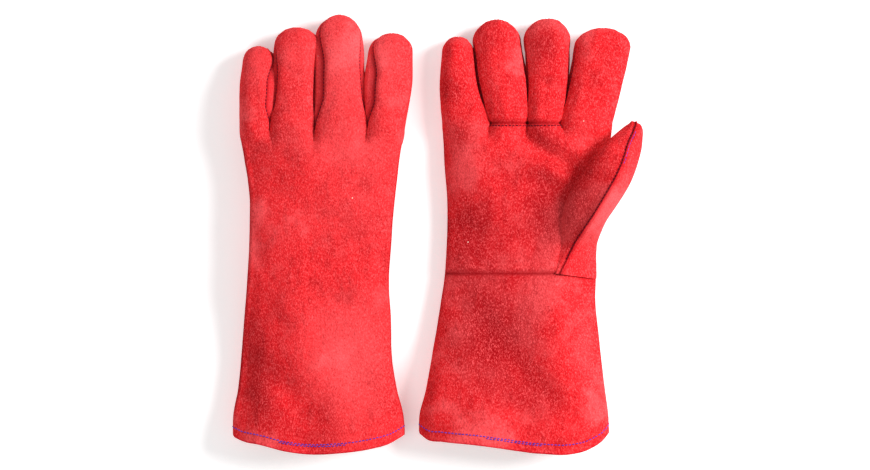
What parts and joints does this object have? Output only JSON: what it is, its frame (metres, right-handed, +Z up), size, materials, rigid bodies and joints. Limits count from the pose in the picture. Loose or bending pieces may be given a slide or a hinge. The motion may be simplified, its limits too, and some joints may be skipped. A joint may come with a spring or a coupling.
{
  "type": "pair of welding gloves",
  "caption": "Pair of long lined suede welding gauntlets with wing thumbs, one lying palm down and one palm up.",
  "frame": {"origin": "centre of the pair's footprint, on the table", "axes": "+Y toward the fingertips, +Z up from the table, both thumb sides toward +X"},
  "size_m": [0.3264, 0.356, 0.0449],
  "materials": {
    "red_suede": "napped suede",
    "strip_suede": "napped suede",
    "hem_suede": "napped suede",
    "welt_suede": "napped suede",
    "fleece": "brushed cotton",
    "canvas": "plain weave"
  },
  "bodies": {
    "right_hand": {"right_back_panel": "red_suede", "right_palm_panel": "red_suede", "right_gauntlet_front": "red_suede", "right_cuff_hem": "hem_suede", "right_side_welts": "welt_suede", "right_hand_lining": "fleece", "right_gauntlet_lining": "canvas"},
    "right_index": {"right_index_back": "red_suede", "right_index_front": "red_suede", "right_index_lining": "fleece", "right_index_side": "strip_suede"},
    "right_middle": {"right_middle_back": "red_suede", "right_middle_front": "red_suede", "right_middle_lining": "fleece", "right_middle_index_side": "strip_suede", "right_middle_ring_side": "strip_suede"},
    "right_ring": {"right_ring_back": "red_suede", "right_ring_front": "red_suede", "right_ring_lining": "fleece", "right_ring_middle_side": "strip_suede", "right_ring_little_side": "strip_suede"},
    "right_little": {"right_little_back": "red_suede", "right_little_front": "red_suede", "right_little_lining": "fleece", "right_little_side": "strip_suede"},
    "right_thumb": {"right_thumb_inner": "red_suede", "right_thumb_outer": "red_suede", "right_thumb_welt": "welt_suede", "right_thumb_lining": "fleece"},
    "left_hand": {"left_back_panel": "red_suede", "left_palm_panel": "red_suede", "left_gauntlet_front": "red_suede", "left_cuff_hem": "hem_suede", "left_side_welts": "welt_suede", "left_hand_lining": "fleece", "left_gauntlet_lining": "canvas"},
    "left_index": {"left_index_back": "red_suede", "left_index_front": "red_suede", "left_index_lining": "fleece", "left_index_side": "strip_suede"},
    "left_middle": {"left_middle_back": "red_suede", "left_middle_front": "red_suede", "left_middle_lining": "fleece", "left_middle_index_side": "strip_suede", "left_middle_ring_side": "strip_suede"},
    "left_ring": {"left_ring_back": "red_suede", "left_ring_front": "red_suede", "left_ring_lining": "fleece", "left_ring_middle_side": "strip_suede", "left_ring_little_side": "strip_suede"},
    "left_little": {"left_little_back": "red_suede", "left_little_front": "red_suede", "left_little_lining": "fleece", "left_little_side": "strip_suede"},
    "left_thumb": {"left_thumb_inner": "red_suede", "left_thumb_outer": "red_suede", "left_thumb_welt": "welt_suede", "left_thumb_lining": "fleece"}
  },
  "joints": [
    {"name": "left_glove_lift", "type": "slide", "parent": "right_hand", "child": "left_hand", "axis": [0, 0, 1], "range_m": [0, 0.12]},
    {"name": "right_index_flex", "type": "hinge", "parent": "right_hand", "child": "right_index", "pos_m": [0.12183, 0.09035, 0.0233], "axis": [1, 0, 0], "range_deg": [0, 75]},
    {"name": "right_middle_flex", "type": "hinge", "parent": "right_hand", "child": "right_middle", "pos_m": [0.08338, 0.09035, 0.0233], "axis": [1, 0, 0], "range_deg": [0, 75]},
    {"name": "right_ring_flex", "type": "hinge", "parent": "right_hand", "child": "right_ring", "pos_m": [0.05548, 0.09035, 0.0233], "axis": [1, 0, 0], "range_deg": [0, 75]},
    {"name": "right_little_flex", "type": "hinge", "parent": "right_hand", "child": "right_little", "pos_m": [0.02448, 0.09035, 0.0233], "axis": [1, 0, 0], "range_deg": [0, 75]},
    {"name": "right_thumb_fold", "type": "hinge", "parent": "right_hand", "child": "right_thumb", "pos_m": [0.09778, -0.01165, 0.0244], "axis": [-0.1736, -0.9848, 0], "range_deg": [0, 90]},
    {"name": "left_index_flex", "type": "hinge", "parent": "left_hand", "child": "left_index", "pos_m": [-0.03887, 0.08535, 0.0127], "axis": [-1, 0, 0], "range_deg": [0, 75]},
    {"name": "left_middle_flex", "type": "hinge", "parent": "left_hand", "child": "left_middle", "pos_m": [-0.07532, 0.08535, 0.0127], "axis": [-1, 0, 0], "range_deg": [0, 75]},
    {"name": "left_ring_flex", "type": "hinge", "parent": "left_hand", "child": "left_ring", "pos_m": [-0.11452, 0.08535, 0.0127], "axis": [-1, 0, 0], "range_deg": [0, 75]},
    {"name": "left_little_flex", "type": "hinge", "parent": "left_hand", "child": "left_little", "pos_m": [-0.14472, 0.08535, 0.0127], "axis": [-1, 0, 0], "range_deg": [0, 75]},
    {"name": "left_thumb_fold", "type": "hinge", "parent": "left_hand", "child": "left_thumb", "pos_m": [-0.05392, -0.01665, 0.0126], "axis": [-0.0698, -0.9976, 0], "range_deg": [0, 140]}
  ]
}
